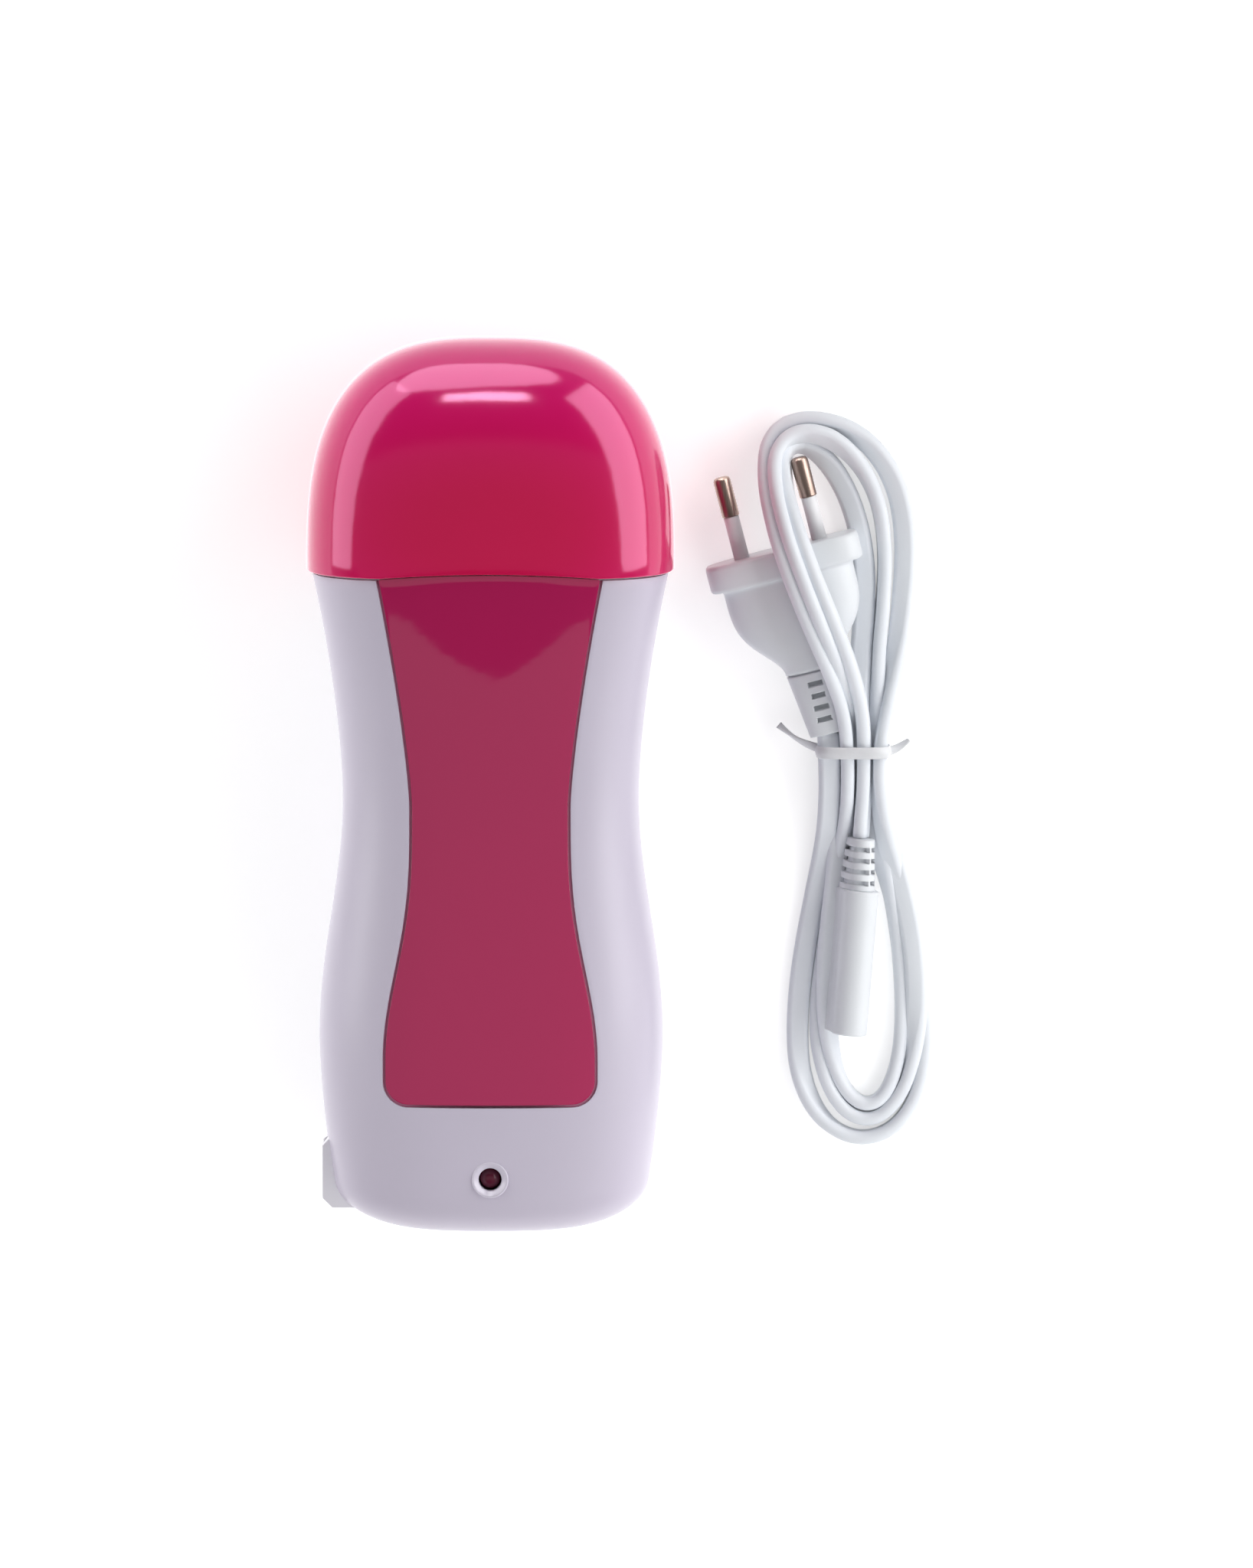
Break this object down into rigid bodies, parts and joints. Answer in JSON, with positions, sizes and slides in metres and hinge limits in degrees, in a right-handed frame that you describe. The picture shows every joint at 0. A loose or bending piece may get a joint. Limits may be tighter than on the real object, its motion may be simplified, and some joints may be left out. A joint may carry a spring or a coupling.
{
  "type": "roll-on wax heater",
  "caption": "Hand-held roll-on wax heater with a domed pull-off cap, tinted window, side mains inlet, indicator lamp and a detachable lead tied in a hank.",
  "frame": {"origin": "middle of the rectangle under the heater, on the surface that its back lies on", "axes": "+Z out of the front face, +Y from the foot to the crown of the cap, +X to the heater's right as seen from the front, so the inlet is on the -X side and the lead lies on the +X side"},
  "size_m": [0.1417, 0.2, 0.0517],
  "materials": {
    "cap_plastic": "high-gloss dyed polypropylene, raspberry pink",
    "window_plastic": "high-gloss tinted polycarbonate, raspberry",
    "shell_plastic": "satin ABS, pale lilac grey",
    "collar_plastic": "satin heat-resistant polyamide, pale grey",
    "bulkhead_plastic": "matte heat-resistant polyamide, off-white",
    "inlet_plastic": "satin moulding, pale grey",
    "bezel_plastic": "gloss ABS ring, pale grey",
    "lamp_resin": "dark red diffused resin, unlit",
    "aluminium_sheet": "bent sheet, brushed",
    "rivet_aluminium": "bright",
    "heating_ceramic": "matte fired ceramic with silvered faces",
    "electrode_brass": "bright sheet",
    "mica": "dull translucent sheet",
    "spring_steel": "plain spring strip",
    "screw_steel": "zinc plated",
    "fuse_case": "tinned case",
    "board_laminate": "green solder mask",
    "resistor_body": "lacquered",
    "diode_body": "black epoxy",
    "contact_brass": "bright",
    "pin_nickel": "nickel plated",
    "wire_red": "silicone insulation, brown-red",
    "wire_blue": "silicone insulation, blue",
    "wire_white": "silicone insulation, white",
    "plug_pvc": "satin soft PVC, pale grey-white",
    "cord_pvc": "satin soft PVC, pale grey-white",
    "sleeve_plastic": "pin insulation, pale grey",
    "tie_plastic": "paper-covered wire tie, white"
  },
  "bodies": {
    "heater": {"front_shell": "shell_plastic", "back_shell": "shell_plastic", "window_panel": "window_plastic", "neck_collar": "collar_plastic", "bulkhead": "bulkhead_plastic", "inlet_housing": "inlet_plastic", "inlet_pins": "contact_brass", "lamp_bezel": "bezel_plastic", "indicator_lamp": "lamp_resin", "lamp_board": "board_laminate", "series_resistor": "resistor_body", "rectifier_diode": "diode_body", "heat_trough": "aluminium_sheet", "heating_stones": "heating_ceramic", "electrodes": "electrode_brass", "mica_sheets": "mica", "heater_clamp": "spring_steel", "clamp_rivets": "rivet_aluminium", "thermal_fuse": "fuse_case", "live_wire": "wire_red", "fuse_wire": "wire_white", "neutral_wire": "wire_blue", "lamp_wires": "wire_white", "case_screws": "screw_steel"},
    "cap": {"cap": "cap_plastic"},
    "mains_lead": {"plug_body": "plug_pvc", "plug_pins": "pin_nickel", "plug_pin_sleeves": "sleeve_plastic", "plug_strain_relief": "plug_pvc", "connector_body": "plug_pvc", "connector_contacts": "contact_brass", "connector_strain_relief": "plug_pvc", "cord_hank": "cord_pvc", "twist_tie": "tie_plastic"}
  },
  "joints": [
    {"name": "cap_slide", "type": "slide", "parent": "heater", "child": "cap", "axis": [0, 1, 0], "range_m": [0, 0.06]},
    {"name": "lead_lift", "type": "slide", "parent": "heater", "child": "mains_lead", "axis": [0, 0, 1], "range_m": [0, 0.1]}
  ]
}
